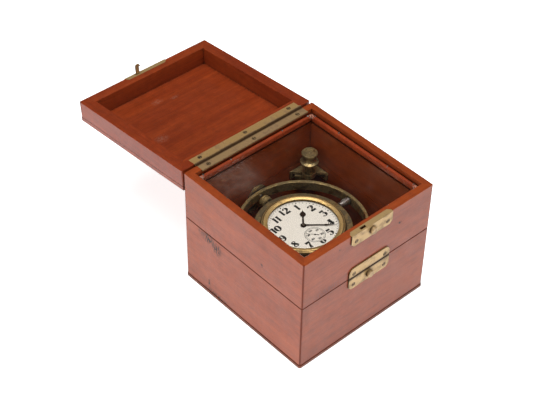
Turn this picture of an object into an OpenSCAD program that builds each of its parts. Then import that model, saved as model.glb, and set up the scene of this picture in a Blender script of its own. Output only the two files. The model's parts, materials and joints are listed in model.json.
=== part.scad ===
// A boxed marine chronometer: a three-tier wooden box whose bottom tier carries a gimballed
// bowl with an eight-day watch movement. Millimetres, +Z up.
// Origin: the centre of the box's underside. The catches face -Y and the hinges are at +Y.
// It is drawn as it is displayed: the lid laid open behind the box, the glazed tier shut.

/* [Box] */
// Width and depth of the box
box_w = 140; // [138:0.5:144]
// Height of the bottom tier, base board included
bottom_h = 67.3; // [67:0.1:70]
// Height of the glazed middle tier
middle_h = 46.7; // [46:0.1:52]
// Height of the lid, top board included
lid_h = 20; // [18:0.1:20]
// Thickness of the tier boards
wall = 10.5; // [10.3:0.1:10.8]
// Thickness of the base board
base_t = 2.6; // [2.2:0.1:3]
// How far the base board stands out past the walls
base_lip = 0.5; // [0:0.1:0.8]
// Thickness of the lid's top board
lid_top_t = 4; // [3:0.1:4]
// Chamfer along the outer corners
corner_cut = 0.7; // [0.4:0.1:1]
// Chamfer along the rims
arris = 0.4; // [0.2:0.1:0.6]
// Gap left between shut tiers
seam_gap = 0.2; // [0.1:0.05:0.3]
// Angle by which the lid lies open
lid_open_angle = 184.8; // [180:0.1:185]

/* [Glazing] */
// Width of the rebate that holds the glass
rebate_w = 4; // [3.5:0.1:4.2]
// Depth of the rebate below the rim
rebate_h = 10.6; // [10:0.1:12]
// Thickness of the glass
glass_t = 2; // [1.8:0.1:2.2]
// Height of the bead that holds the glass down
bead_h = 5; // [4:0.1:5.5]

/* [Hinges] */
// Length of each long butt hinge
hinge_len = 115; // [100:1:118]
// Width of a hinge leaf where it lies on the wood
leaf_w = 7.5; // [7:0.1:8]
// Thickness of a hinge leaf
leaf_t = 1.2; // [1:0.1:1.3]
// Radius of the hinge knuckles
knuckle_r = 1.3; // [1.2:0.05:1.35]
// Radius of the hinge pins
hinge_pin_r = 0.6; // [0.5:0.05:0.7]
// Number of knuckles
knuckles = 9; // [7:2:11]

/* [Catches] */
// Width of the catch plates
catch_w = 44.6; // [42:0.1:48]
// Height of the lower plate, which holds the push button
catch_h = 11.8; // [11.4:0.1:13]
// Height of the upper plate, which carries the hook
hook_plate_h = 10.1; // [9:0.1:12]
// Thickness of the catch plates
catch_t = 1; // [0.8:0.1:1]
// Radius of the push button
button_r = 3.3; // [3:0.05:3.35]
// How far the button travels when pressed
button_travel = 1.6; // [1.2:0.1:1.6]

/* [Gimbal] */
// Place of the gimbal's centre in the box, along X
gimbal_x = -1.2; // [-1.5:0.1:0]
// Place of the gimbal's centre in the box, along Y
gimbal_y = 2.2; // [0:0.1:2.3]
// Height of both gimbal axes above the table
gimbal_z = 59.5; // [59:0.1:60]
// Outer radius of the gimbal ring
ring_r = 55.2; // [55:0.1:55.4]
// Radial thickness of the gimbal ring
ring_t = 3; // [2.6:0.1:3]
// Height of the gimbal ring
ring_h = 9; // [8:0.1:9]
// Radius of the gimbal pivots
pivot_r = 1.5; // [1.3:0.05:1.6]
// Distance of the gimbal lock's post from the centre, along X and along Y
lock_xy = 47; // [46.8:0.1:47.5]

/* [Bowl and watch] */
// Outer radius of the bowl's rim band
band_r = 41; // [40.5:0.1:41.5]
// Outer radius of the bowl's wall
bowl_r = 38.5; // [38:0.1:39]
// Height of the bowl's underside above the table
bowl_z = 29; // [28:0.5:31]
// Outer radius of the gold bezel
bezel_r = 35.5; // [35:0.1:36]
// Radius of the dial
dial_r = 30; // [29.8:0.05:30]
// Height of the dial's face above the table
dial_z = 62; // [61.8:0.1:62.2]
// Distance from the dial's centre down to the seconds hand
seconds_y = 14; // [13.8:0.1:14.2]
// Radius of the winding crown
crown_r = 5; // [4.5:0.1:5]

/* [Hidden] */

$fn = 64;
eps = 0.01;
run_gap = 0.05;          // radial clearance of everything that turns or slides
half = box_w / 2;
inner = half - wall;     // the inner faces stand this far from the centre
rim_z = bottom_h + middle_h + seam_gap / 2;
tier_z = bottom_h + seam_gap / 2;        // height of the tier hinge and of that seam
lid_z = rim_z + seam_gap / 2;            // height of the lid hinge and of that seam
hinge_y = half + 1.4;
hinge_x = 0.8;
tiers = [                // the lowest and highest z of the boards of each tier, with the lid shut
    [base_t, bottom_h],
    [bottom_h + seam_gap, rim_z],
    [rim_z + seam_gap, rim_z + seam_gap + lid_h - lid_top_t]
];
ledge_z = rim_z - rebate_h;
rebate_half = inner + rebate_w;
bead_w = rebate_w - 0.6;
bead_y = rebate_half - 0.5 - bead_w / 2; // the beads' middle lines stand this far from the centre
mitre_gap = 0.15;
brad_places = [-57, -28, 28, 57];        // along each bead
brad_r = 0.4;
brad_len = 3;
brad_head_r = 0.85;
brad_head_h = 0.5;
brad_sink = 0.3;                         // this much of the head lies below the bead's top

screw_r = 0.9;
screw_head_r = 1.9;
screw_head_h = 1;
screw_len = 6;

// ---------------------------------------------------------------- shared shapes

// Puts a child made in the closed position where it lies with the lid open.
module opened() {
    translate([0, hinge_y, lid_z])
        rotate([-lid_open_angle, 0, 0])
            translate([0, -hinge_y, -lid_z])
                children();
}

// A board on side k of the box (0 front, 1 right, 2 back, 3 left), mitred at both ends.
// profile is the board's section: [distance inwards from the outer face, height].
module board(k, profile) {
    rotate([0, 0, 90 * k])
        intersection() {
            translate([-half, -half, 0])
                rotate([90, 0, 90])
                    linear_extrude(box_w)
                        polygon(profile);
            linear_extrude(200)
                polygon([
                    [0, 0],
                    [-half + corner_cut / 2, -half + corner_cut / 2],
                    [-half + corner_cut, -half],
                    [half - corner_cut, -half],
                    [half - corner_cut / 2, -half + corner_cut / 2]
                ]);
        }
}

// A plain board section between two heights, with chamfered outer edges.
function plain_profile(low, high) = [
    [arris, low], [wall, low], [wall, high], [arris, high], [0, high - arris], [0, low + arris]
];

// The middle tier's section, with the rebate for the glass at its top.
function glazed_profile(low, high) = [
    [arris, low], [wall, low], [wall, ledge_z], [wall - rebate_w, ledge_z],
    [wall - rebate_w, high], [arris, high], [0, high - arris], [0, low + arris]
];

// A countersunk screw with its head flush at Z = 0, pointing down.
module screw(length = screw_len) {
    difference() {
        union() {
            translate([0, 0, -screw_head_h])
                cylinder(h = screw_head_h, r1 = screw_r, r2 = screw_head_r);
            translate([0, 0, -length])
                cylinder(h = length - screw_head_h / 2, r = screw_r);
        }
        translate([-screw_head_r - 1, -0.25, -0.5])
            cube([2 * screw_head_r + 2, 0.5, 1]);
    }
}

// The hole that such a screw leaves in what it holds.
module screw_hole(length = screw_len) {
    translate([0, 0, -screw_head_h])
        cylinder(h = screw_head_h + run_gap, r1 = screw_r + run_gap, r2 = screw_head_r + 2 * run_gap);
    translate([0, 0, -length - run_gap])
        cylinder(h = length, r = screw_r + run_gap);
}

// ---------------------------------------------------------------- hinge parts

knuckle_len = hinge_len / knuckles;
hinge_screw_step = 48.5;
hinge_screw_y = half - 4.2;

// The screws of one leaf, on a plane at Z = 0 that faces up.
module at_leaf_screws() {
    for (x = [-hinge_screw_step, 0, hinge_screw_step])
        translate([hinge_x + x, hinge_screw_y, 0])
            children();
}

// One leaf, flat on the wood under the hinge axis at height z. first is 0 for the leaf with the
// end knuckles and 1 for the other leaf.
module hinge_leaf(z, first) {
    left = hinge_x - hinge_len / 2;
    top = z - seam_gap / 2;
    difference() {
        union() {
            translate([left, half - leaf_w, top - leaf_t])
                cube([hinge_len, leaf_w, leaf_t]);
            for (i = [first : 2 : knuckles - 1]) {
                translate([left + i * knuckle_len + run_gap, half - 1, top - leaf_t])
                    cube([knuckle_len - 2 * run_gap, 1 + hinge_y - half, leaf_t]);
                translate([left + i * knuckle_len + run_gap, hinge_y, z])
                    rotate([0, 90, 0])
                        cylinder(h = knuckle_len - 2 * run_gap, r = knuckle_r, $fn = 48);
            }
        }
        translate([left - 1, hinge_y, z])
            rotate([0, 90, 0])
                cylinder(h = hinge_len + 2, r = hinge_pin_r + run_gap, $fn = 48);
        translate([0, 0, top])
            at_leaf_screws()
                screw_hole();
    }
}

// Turns a lower leaf into the upper leaf of the same hinge.
module upper_leaf(z) {
    translate([0, 0, 2 * z])
        mirror([0, 0, 1])
            hinge_leaf(z, 1);
}

module hinge_pin(z) {
    translate([hinge_x - hinge_len / 2 - 0.2, hinge_y, z])
        rotate([0, 90, 0])
            cylinder(h = hinge_len + 0.4, r = hinge_pin_r, $fn = 48);
}

// The mortise that one leaf lies in.
module leaf_mortise(z) {
    translate([hinge_x - hinge_len / 2, half - leaf_w, z - seam_gap / 2 - leaf_t])
        cube([hinge_len, leaf_w + 1, leaf_t + seam_gap]);
}

// ---------------------------------------------------------------- catch parts
// Each is drawn with the seam at Z = 0 and the wood's front face at Y = 0, +Y into the wood.

catch_x = 1.4;
catch_corner = 3;
flange_d = 4;
flange_end = 2.5;
catch_screw_x = 17;
low_screw_z = -7.6;      // of the screws in the lower plate
high_screw_z = 4.1;      // of those in the upper plate
button_z = -5.8;
hook_y = 1;              // the hook's and the tongue's near face, into the wood
hook_t = 1;
hook_left = -11;
hook_right = -7.4;
beak_x = -6;
hook_tip_z = -9.4;
pocket_d = 5.1;
tongue_t = 1;
button_out = 4;          // the button's end stands this far out from the wood
plate_groove = 0.6;      // height and depth of the rebate along the upper plate's lower edge

module place_catch(seam_z) {
    translate([catch_x, -half, seam_z])
        children();
}

module catch_screws_at(z) {
    for (x = [-catch_screw_x, catch_screw_x])
        translate([x, -catch_t, z])
            rotate([90, 0, 0])
                children();
}

// The plate's tongue that lies in the rim, with its ends cut off at an angle.
module rim_flange(z, t) {
    translate([0, 0, z])
        linear_extrude(t)
            polygon([
                [-catch_w / 2, -catch_t], [catch_w / 2, -catch_t], [catch_w / 2, flange_d - flange_end],
                [catch_w / 2 - flange_end, flange_d], [-catch_w / 2 + flange_end, flange_d],
                [-catch_w / 2, flange_d - flange_end]
            ]);
}

// The lower plate: it is screwed to the front, folds over the rim, and has the hook's slot.
module catch_plate() {
    top = -seam_gap / 2;
    difference() {
        union() {
            rotate([90, 0, 0])
                linear_extrude(catch_t)
                    polygon([
                        [-catch_w / 2, top], [catch_w / 2, top],
                        [catch_w / 2, top - catch_h + catch_corner],
                        [catch_w / 2 - catch_corner, top - catch_h],
                        [-catch_w / 2 + catch_corner, top - catch_h],
                        [-catch_w / 2, top - catch_h + catch_corner]
                    ]);
            rim_flange(top - catch_t, catch_t);
        }
        translate([0, 1, button_z])
            rotate([90, 0, 0])
                cylinder(h = 4, r = button_r + run_gap);
        translate([hook_left - 0.3, 0.4, -2])
            cube([beak_x - hook_left + 0.6, hook_t + 1.2, 3]);
        catch_screws_at(low_screw_z)
            screw_hole();
    }
}

// The upper plate, with rounded upper corners, and the hook that hangs from its flange.
module hook_plate() {
    low = seam_gap / 2;
    r = 5;
    difference() {
        union() {
            translate([-catch_w / 2, -catch_t, low])
                cube([catch_w, catch_t, hook_plate_h - r]);
            translate([-catch_w / 2 + r, -catch_t, low])
                cube([catch_w - 2 * r, catch_t, hook_plate_h]);
            for (x = [-catch_w / 2 + r, catch_w / 2 - r])
                translate([x, 0, low + hook_plate_h - r])
                    rotate([90, 0, 0])
                        cylinder(h = catch_t, r = r);
            rim_flange(low, catch_t);
            translate([0, hook_y + hook_t, 0])
                rotate([90, 0, 0])
                    linear_extrude(hook_t)
                        polygon([
                            [hook_left, low + catch_t], [hook_left, hook_tip_z + 1.2],
                            [hook_left + 1, hook_tip_z], [hook_right, hook_tip_z],
                            [beak_x, hook_tip_z + 1.8], [beak_x, button_z - 1.1],
                            [hook_right, button_z - 1.1], [hook_right, low + catch_t]
                        ]);
        }
        translate([-catch_w / 2 - 1, -catch_t - 1, low - 1])
            cube([catch_w + 2, 1 + plate_groove, 1 + plate_groove]);
        catch_screws_at(high_screw_z)
            screw_hole();
    }
}

// The push button, its stem and the sideways tongue that holds the hook's beak down.
module catch_button() {
    translate([0, tongue_t, button_z])
        rotate([90, 0, 0]) {
            cylinder(h = tongue_t + button_out - 0.6, r = button_r);
            translate([0, 0, tongue_t + button_out - 0.6])
                cylinder(h = 0.6, r1 = button_r, r2 = button_r - 0.6);
        }
    translate([hook_right + 0.2, hook_y, button_z - 1])
        cube([-hook_right - 0.2 + 2, tongue_t, 2]);
}

// A helix of round wire about the Y axis, from y0 to y0 + length.
module coil_spring(y0, length, r, wire_r, turns) {
    steps = 14 * turns;
    sides = 6;
    points = [
        for (i = [0 : steps], j = [0 : sides - 1])
            let (a = 360 * turns * i / steps, b = 360 * j / sides, q = r + wire_r * cos(b))
                [
                    q * cos(a),
                    y0 + wire_r + (length - 2 * wire_r) * i / steps + wire_r * sin(b),
                    q * sin(a)
                ]
    ];
    faces = concat(
        [[for (j = [0 : sides - 1]) j]],
        [[for (j = [sides - 1 : -1 : 0]) steps * sides + j]],
        [for (i = [0 : steps - 1], j = [0 : sides - 1])
            [i * sides + j, (i + 1) * sides + j, (i + 1) * sides + (j + 1) % sides,
             i * sides + (j + 1) % sides]]
    );
    polyhedron(points, faces, convexity = 6);
}

// What the catch and its hook need cut out of the board below the seam.
module catch_pocket() {
    translate([0, pocket_d, button_z])
        rotate([90, 0, 0])
            cylinder(h = pocket_d + 1, r = button_r + 0.2);
    translate([hook_left - 0.4, -1, hook_tip_z - 0.5])
        cube([beak_x - hook_left + 0.8, 4.5, 12]);
    translate([hook_right, -1, button_z - 1.6])
        cube([-hook_right, hook_y + tongue_t + button_travel + 1.4, 3.2]);
    translate([0, 0, -seam_gap / 2])
        mirror([0, 0, 1])
            rim_flange(-1, catch_t + 1);
    catch_screws_at(low_screw_z)
        screw_hole();
}

// What the hook plate needs cut out of the board above the seam.
module hook_pocket() {
    rim_flange(-1, catch_t + 1 + seam_gap / 2);
    catch_screws_at(high_screw_z)
        screw_hole();
}

// ---------------------------------------------------------------- box

module base_panel() {
    side = half + base_lip;
    cut = base_lip + corner_cut;
    color("saddlebrown")
        linear_extrude(base_t)
            polygon([
                for (k = [0 : 3], p = [[-side + cut, -side], [side - cut, -side]])
                    [p[0] * cos(90 * k) - p[1] * sin(90 * k), p[0] * sin(90 * k) + p[1] * cos(90 * k)]
            ]);
}

module bottom_board(k) {
    color("sienna")
        board(k, plain_profile(tiers[0][0], tiers[0][1]));
}

module bottom_front_board() {
    color("sienna")
        difference() {
            bottom_board(0);
            place_catch(tier_z)
                catch_pocket();
            bracket_screws_at(0)
                screw_hole();
        }
}

module bottom_right_board() {
    color("sienna")
        difference() {
            bottom_board(1);
            lock_screws_at(0)
                screw_hole();
        }
}

module bottom_back_board() {
    color("sienna")
        difference() {
            bottom_board(2);
            leaf_mortise(tier_z);
            translate([0, 0, tier_z - seam_gap / 2])
                at_leaf_screws()
                    screw_hole();
            bracket_screws_at(1)
                screw_hole();
            lock_screws_at(1)
                screw_hole();
        }
}

module bottom_left_board() {
    bottom_board(3);
}

module middle_board(k) {
    color("sienna")
        board(k, glazed_profile(tiers[1][0], tiers[1][1]));
}

module middle_front_board() {
    color("sienna")
        difference() {
            middle_board(0);
            place_catch(lid_z)
                catch_pocket();
            place_catch(tier_z)
                hook_pocket();
        }
}

module middle_right_board() {
    middle_board(1);
}

module middle_back_board() {
    color("sienna")
        difference() {
            middle_board(2);
            leaf_mortise(lid_z);
            translate([0, 0, lid_z - seam_gap / 2])
                at_leaf_screws()
                    screw_hole();
            translate([0, 0, 2 * tier_z])
                mirror([0, 0, 1]) {
                    leaf_mortise(tier_z);
                    translate([0, 0, tier_z - seam_gap / 2])
                        at_leaf_screws()
                            screw_hole();
                }
        }
}

module middle_left_board() {
    middle_board(3);
}

module glass_pane() {
    side = 2 * rebate_half - 0.4;
    color([0.8, 0.9, 0.9, 0.3])
        translate([-side / 2, -side / 2, ledge_z])
            cube([side, side, glass_t]);
}

// One round-topped strip along side k, mitred with a hair of space at its ends.
module glass_bead(k) {
    rotate([0, 0, 90 * k])
        intersection() {
            translate([-half, -bead_y - bead_w / 2, ledge_z + glass_t])
                rotate([90, 0, 90]) {
                    linear_extrude(box_w)
                        square([bead_w, bead_h - bead_w / 2]);
                    translate([bead_w / 2, bead_h - bead_w / 2, 0])
                        cylinder(h = box_w, r = bead_w / 2);
                }
            translate([0, -mitre_gap, 0])
                linear_extrude(box_w)
                    polygon([[0, 0], [-half, -half], [half, -half]]);
        }
}

// Places a child at the top of every brad, four to a bead.
module at_brads() {
    for (k = [0 : 3], x = brad_places)
        rotate([0, 0, 90 * k])
            translate([x, -bead_y, ledge_z + glass_t + bead_h])
                children();
}

// A small brad driven down into a bead, its head just proud. gap widens it into its own hole.
module brad(gap) {
    translate([0, 0, -brad_len - gap])
        cylinder(h = brad_len, r = brad_r + gap, $fn = 24);
    translate([0, 0, -brad_sink - gap])
        cylinder(h = brad_head_h, r = brad_head_r + gap, $fn = 24);
}

module glass_beads() {
    color("chocolate")
        difference() {
            for (k = [0 : 3])
                glass_bead(k);
            at_brads()
                brad(run_gap);
        }
}

module bead_pins() {
    color("silver")
        at_brads()
            brad(0);
}

module lid_board(k) {
    color("sienna")
        board(k, plain_profile(tiers[2][0], tiers[2][1]));
}

module lid_front_board() {
    color("sienna")
        opened()
            difference() {
                lid_board(0);
                place_catch(lid_z)
                    hook_pocket();
            }
}

module lid_right_board() {
    opened()
        lid_board(1);
}

module lid_back_board() {
    color("sienna")
        opened()
            difference() {
                lid_board(2);
                translate([0, 0, 2 * lid_z])
                    mirror([0, 0, 1]) {
                        leaf_mortise(lid_z);
                        translate([0, 0, lid_z - seam_gap / 2])
                            at_leaf_screws()
                                screw_hole();
                    }
            }
}

module lid_left_board() {
    opened()
        lid_board(3);
}

module lid_top_panel() {
    low = tiers[2][1];
    color("sienna")
        opened()
            for (layer = [[0, lid_top_t - arris, 0], [lid_top_t - arris, arris, arris]])
                translate([-half + layer[2], -half + layer[2], low + layer[0]])
                    cube([box_w - 2 * layer[2], box_w - 2 * layer[2], layer[1]]);
}

// ---------------------------------------------------------------- hinges and screws

module lid_hinge_case_leaf() {
    color("goldenrod")
        hinge_leaf(lid_z, 0);
}

module lid_hinge_lid_leaf() {
    color("gold")
        opened()
            upper_leaf(lid_z);
}

module lid_hinge_pin() {
    color("goldenrod")
        hinge_pin(lid_z);
}

module tier_hinge_bottom_leaf() {
    color("goldenrod")
        hinge_leaf(tier_z, 0);
}

module tier_hinge_middle_leaf() {
    color("goldenrod")
        upper_leaf(tier_z);
}

module tier_hinge_pin() {
    color("goldenrod")
        hinge_pin(tier_z);
}

module bottom_screws() {
    color("goldenrod") {
        translate([0, 0, tier_z - seam_gap / 2])
            at_leaf_screws()
                screw();
        place_catch(tier_z)
            catch_screws_at(low_screw_z)
                screw();
    }
}

module middle_screws() {
    color("goldenrod") {
        translate([0, 0, lid_z - seam_gap / 2])
            at_leaf_screws()
                screw();
        translate([0, 0, tier_z + seam_gap / 2])
            mirror([0, 0, 1])
                at_leaf_screws()
                    screw();
        place_catch(lid_z)
            catch_screws_at(low_screw_z)
                screw();
        place_catch(tier_z)
            catch_screws_at(high_screw_z)
                screw();
    }
}

module lid_screws() {
    color("goldenrod")
        opened() {
            translate([0, 0, lid_z + seam_gap / 2])
                mirror([0, 0, 1])
                    at_leaf_screws()
                        screw();
            place_catch(lid_z)
                catch_screws_at(high_screw_z)
                    screw();
        }
}

// ---------------------------------------------------------------- catches

module lid_hook_plate() {
    color("gold")
        opened()
            place_catch(lid_z)
                hook_plate();
}

module lid_catch_plate() {
    color("gold")
        place_catch(lid_z)
            catch_plate();
}

module lid_catch_button() {
    color("gold")
        place_catch(lid_z)
            catch_button();
}

module catch_spring() {
    translate([0, 0, button_z])
        coil_spring(hook_y + tongue_t, pocket_d - hook_y - tongue_t, 2, 0.2, 4);
}

module lid_catch_spring() {
    color("silver")
        place_catch(lid_z)
            catch_spring();
}

module tier_hook_plate() {
    color("gold")
        place_catch(tier_z)
            hook_plate();
}

module tier_catch_plate() {
    color("gold")
        place_catch(tier_z)
            catch_plate();
}

module tier_catch_button() {
    color("gold")
        place_catch(tier_z)
            catch_button();
}

module tier_catch_spring() {
    color("silver")
        place_catch(tier_z)
            catch_spring();
}

// ---------------------------------------------------------------- gimbal

bracket_w = 20;
bracket_t = 1.5;
bracket_low = 43;
bracket_arc_z = 57.5;
bracket_screw_x = 6;
bracket_screw_z = 48;
boss_r = 3;
boss_gap = 0.25;         // between a boss and the ring
ring_in = ring_r - ring_t;
pivot_end = 0.8;         // the ring's pivots stand this far out of its inner face

// Puts a child drawn about the box's middle axis at the gimbal's centre.
module at_gimbal() {
    translate([gimbal_x, gimbal_y, 0])
        children();
}

// Where the gimbal's centre lies as seen from the front wall (side 0) or the back wall (side 1).
function centre_from(side) = side == 0 ? gimbal_y : -gimbal_y;

// The two screws of the front bracket (side 0) or of the back one (side 1).
module bracket_screws_at(side) {
    mirror([0, side, 0])
        for (x = [-bracket_screw_x, bracket_screw_x])
            translate([gimbal_x + x, -inner + bracket_t, bracket_screw_z])
                rotate([-90, 0, 0])
                    children();
}

// A round-topped plate on the front and on the back wall, with a boss for its pivot.
module gimbal_brackets() {
    color("darkkhaki")
        for (side = [0, 1])
            mirror([0, side, 0])
                difference() {
                    union() {
                        translate([gimbal_x - bracket_w / 2, -inner, bracket_low])
                            cube([bracket_w, bracket_t, bracket_arc_z - bracket_low]);
                        translate([gimbal_x, -inner + bracket_t, bracket_arc_z])
                            rotate([90, 0, 0])
                                cylinder(h = bracket_t, r = bracket_w / 2);
                        translate([gimbal_x, centre_from(side) - ring_r - boss_gap, gimbal_z])
                            rotate([90, 0, 0])
                                cylinder(h = inner - ring_r - boss_gap + centre_from(side), r = boss_r);
                    }
                    translate([gimbal_x, centre_from(side) - ring_r + 1, gimbal_z])
                        rotate([90, 0, 0])
                            cylinder(h = 2 * wall, r = pivot_r + 0.02);
                    bracket_screws_at(0)
                        screw_hole();
                }
}

lock_dir = atan2(lock_xy - gimbal_y, lock_xy - gimbal_x); // from the gimbal's centre to the lock
lock_distance = norm([lock_xy - gimbal_x, lock_xy - gimbal_y]);
notch_d = 1.7;           // depth of the ring's notch for the lock's claw
notch_w = 16;

// The pins on which the ring swings, each held in its bracket.
module ring_pivots() {
    color("silver")
        for (side = [0, 1])
            mirror([0, side, 0])
                translate([gimbal_x, centre_from(side) - ring_in + pivot_end, gimbal_z])
                    rotate([90, 0, 0])
                        cylinder(h = inner - ring_in + pivot_end + centre_from(side), r = pivot_r);
}

module gimbal_ring() {
    color("darkkhaki")
        at_gimbal()
            difference() {
                rotate_extrude($fn = 128)
                    polygon([
                        [ring_in, gimbal_z - ring_h / 2 + 0.3], [ring_in + 0.3, gimbal_z - ring_h / 2],
                        [ring_r - 0.3, gimbal_z - ring_h / 2], [ring_r, gimbal_z - ring_h / 2 + 0.3],
                        [ring_r, gimbal_z + ring_h / 2 - 0.5], [ring_r - 0.5, gimbal_z + ring_h / 2],
                        [ring_in + 0.5, gimbal_z + ring_h / 2], [ring_in, gimbal_z + ring_h / 2 - 0.5]
                    ]);
                for (a = [0 : 90 : 270])
                    rotate([0, 0, a])
                        translate([ring_in - 1, 0, gimbal_z])
                            rotate([0, 90, 0])
                                cylinder(h = ring_t + 2, r = pivot_r + run_gap);
                rotate([0, 0, lock_dir])
                    translate([ring_r - notch_d, -notch_w / 2, gimbal_z - 2.9])
                        cube([5, notch_w, 3.6]);
            }
}

// The studs screwed into the bowl's band, on which the bowl swings in the ring.
module bowl_trunnions() {
    color("silver")
        at_gimbal()
            for (a = [0, 180])
                rotate([0, 0, a])
                    translate([0, 0, gimbal_z])
                        rotate([0, 90, 0])
                            rotate_extrude()
                                polygon([
                                    [0, bowl_r + 0.3], [pivot_r, bowl_r + 0.3], [pivot_r, band_r + 0.05],
                                    [2.6, band_r + 0.05], [2.6, 45.5], [3.3, 46], [3.3, 50.5], [2.6, 51],
                                    [2.6, ring_in - 0.25], [pivot_r, ring_in - 0.25],
                                    [pivot_r, ring_r - 0.2], [0, ring_r - 0.2]
                                ]);
}

// ---------------------------------------------------------------- gimbal lock

lock_plate_z = 60;
lock_plate_t = 2;
lock_boss_top = 64;
post_r = 3;
lug_low = 54;            // lower end of the two lugs screwed to the walls
claw_z = 57;
claw_t = 2.8;
lock_reach = inner - 23.5;

module lock_screws_at(back) {
    side = back == 1 ? [0, 0, 0] : [1, -1, 0];
    mirror(side)
        translate([lock_xy - 6, inner - bracket_t, lock_plate_z - 3])
            rotate([90, 0, 0])
                children();
}

// The corner bracket: a triangular shelf with a boss for the post and a lug down each wall.
module lock_bracket() {
    color("darkkhaki")
        difference() {
            union() {
                translate([0, 0, lock_plate_z])
                    linear_extrude(lock_plate_t)
                        polygon([[inner, inner], [lock_reach, inner], [inner, lock_reach]]);
                translate([lock_xy, lock_xy, lock_plate_z])
                    cylinder(h = lock_boss_top - lock_plate_z, r = 5.75);
                for (side = [[0, 0, 0], [1, -1, 0]])
                    mirror(side)
                        translate([lock_reach + 0.5, inner - bracket_t, lug_low])
                            cube([10, bracket_t, lock_plate_z - lug_low + 1]);
            }
            translate([lock_xy, lock_xy, 50])
                cylinder(h = 20, r = post_r + run_gap);
            for (k = [0, 1])
                lock_screws_at(k)
                    screw_hole();
        }
}

module bracket_screws() {
    color("darkgoldenrod") {
        for (k = [0, 1]) {
            bracket_screws_at(k)
                screw();
            lock_screws_at(k)
                screw();
        }
    }
}

// The turned knob on its post, and the claw under the shelf, parked towards the corner's left.
module gimbal_lock() {
    claw_reach = lock_distance - ring_r + notch_d - 0.4;
    claw_w = 4;
    color("darkkhaki")
        translate([lock_xy, lock_xy, 0]) {
            rotate_extrude()
                polygon(concat(
                    [[0, claw_z], [post_r, claw_z], [post_r, 64.2], [4, 64.2], [4, 73.4], [6.6, 74.2],
                     [7.8, 74.8], [8, 75.6], [7.8, 76.4], [6.4, 77]],
                    [for (a = [-60 : 30 : 60]) [6.2 - 1.7 * cos(a), 80.2 + 3.1 * sin(a)]],
                    [[6.6, 83.4], [7, 84.2], [7, 85.2], [6.5, 85.8], [4.2, 85.8], [3.8, 85.3],
                     [1.6, 85.3], [1.2, 85.7], [0, 85.8]]
                ));
            rotate([0, 0, 135])
                translate([post_r - 0.6, -claw_w / 2, claw_z])
                    cube([claw_reach - post_r + 0.6, claw_w, claw_t]);
        }
}

// ---------------------------------------------------------------- bowl and watch case

plate_top = 59;
plate_t = 3;
plate_low = plate_top - plate_t;
plate_r = 31.2;
bowl_wall = 2;
band_z = 61.5;
stem_z = 57.5;

module bowl() {
    round_r = 8;
    floor_r = bowl_r - round_r;
    color("darkkhaki")
        at_gimbal()
            difference() {
                rotate_extrude($fn = 128)
                    polygon(concat(
                        [[0, bowl_z], [floor_r, bowl_z]],
                        [for (a = [-75 : 15 : 0]) [floor_r + round_r * cos(a),
                          bowl_z + round_r + round_r * sin(a)]],
                        [[bowl_r, 54.4], [band_r - 0.4, 54.4], [band_r, 54.8], [band_r, band_z - 0.5],
                         [band_r - 0.5, band_z], [plate_r + 0.1, band_z], [plate_r + 0.1, plate_low],
                         [29.8, plate_low], [29.8, 53], [bowl_r - bowl_wall, 50]],
                        [for (a = [0 : -15 : -75])
                            [floor_r + (round_r - bowl_wall) * cos(a),
                             bowl_z + round_r + (round_r - bowl_wall) * sin(a)]],
                        [[0, bowl_z + bowl_wall + 1]]
                    ));
                for (a = [0, 180])
                    rotate([0, 0, a])
                        translate([bowl_r + 0.28, 0, gimbal_z])
                            rotate([0, 90, 0])
                                cylinder(h = 5, r = pivot_r + 0.02);
                translate([0, 0, stem_z])
                    rotate([-90, 0, 0])
                        cylinder(h = 60, r = 1);
            }
    color("darkkhaki")
        at_gimbal()
            translate([0, band_r - 0.3, stem_z])
                rotate([-90, 0, 0])
                    difference() {
                        cylinder(h = 2, r = 2.4);
                        translate([0, 0, -1])
                            cylinder(h = 4, r = 1);
                    }
}

module bezel() {
    color("gold")
        at_gimbal()
            rotate_extrude($fn = 128)
                polygon([
                    [dial_r + 0.2, band_z], [bezel_r - 0.6, band_z], [bezel_r, band_z + 0.6],
                    [bezel_r, 62.8], [bezel_r - 0.35, 63.7], [bezel_r - 1.1, 64.7], [bezel_r - 2.2, 65.3],
                    [bezel_r - 3.4, 65.6], [dial_r + 1.2, 65.5], [dial_r, 65.1], [dial_r - 0.7, 64.85],
                    [dial_r + 0.6, 64.85], [dial_r + 0.6, 63.75], [dial_r + 0.2, 63.75]
                ]);
}

// The domed glass over the dial, held in the bezel's groove.
module crystal() {
    color([0.9, 0.95, 1, 0.25])
        at_gimbal()
            rotate_extrude($fn = 128)
                polygon([
                    [0, 63.8], [dial_r + 0.55, 63.8], [dial_r + 0.55, 64.8], [dial_r - 0.9, 64.8],
                    [dial_r - 1.4, 65], [20, 65.25], [10, 65.4], [0, 65.45]
                ]);
}

module dial() {
    color("ivory")
        at_gimbal()
            difference() {
                union() {
                    translate([0, 0, dial_z - 0.6])
                        cylinder(h = 0.6, r = dial_r, $fn = 128);
                    for (a = [30, 150, 270])
                        rotate([0, 0, a])
                            translate([27, 0, plate_top])
                                cylinder(h = dial_z - 0.6 - plate_top + eps, r = 0.6, $fn = 24);
                }
                translate([0, 0, 50])
                    cylinder(h = 20, r = 1.3);
                translate([0, -seconds_y, 50])
                    cylinder(h = 20, r = 0.5);
            }
}

// ---------------------------------------------------------------- hands
// Angles are measured clockwise from twelve, which points to +Y.

hour_angle = 41;
minute_angle = 130;
seconds_angle = 319;
arbor_r = 0.6;           // of the centre wheel, which carries the minute hand
cannon_r = 1.1;          // of the hour hand's pipe around it
hand_t = 0.3;
hour_z = dial_z + 0.5;
minute_z = dial_z + 1;

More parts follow.
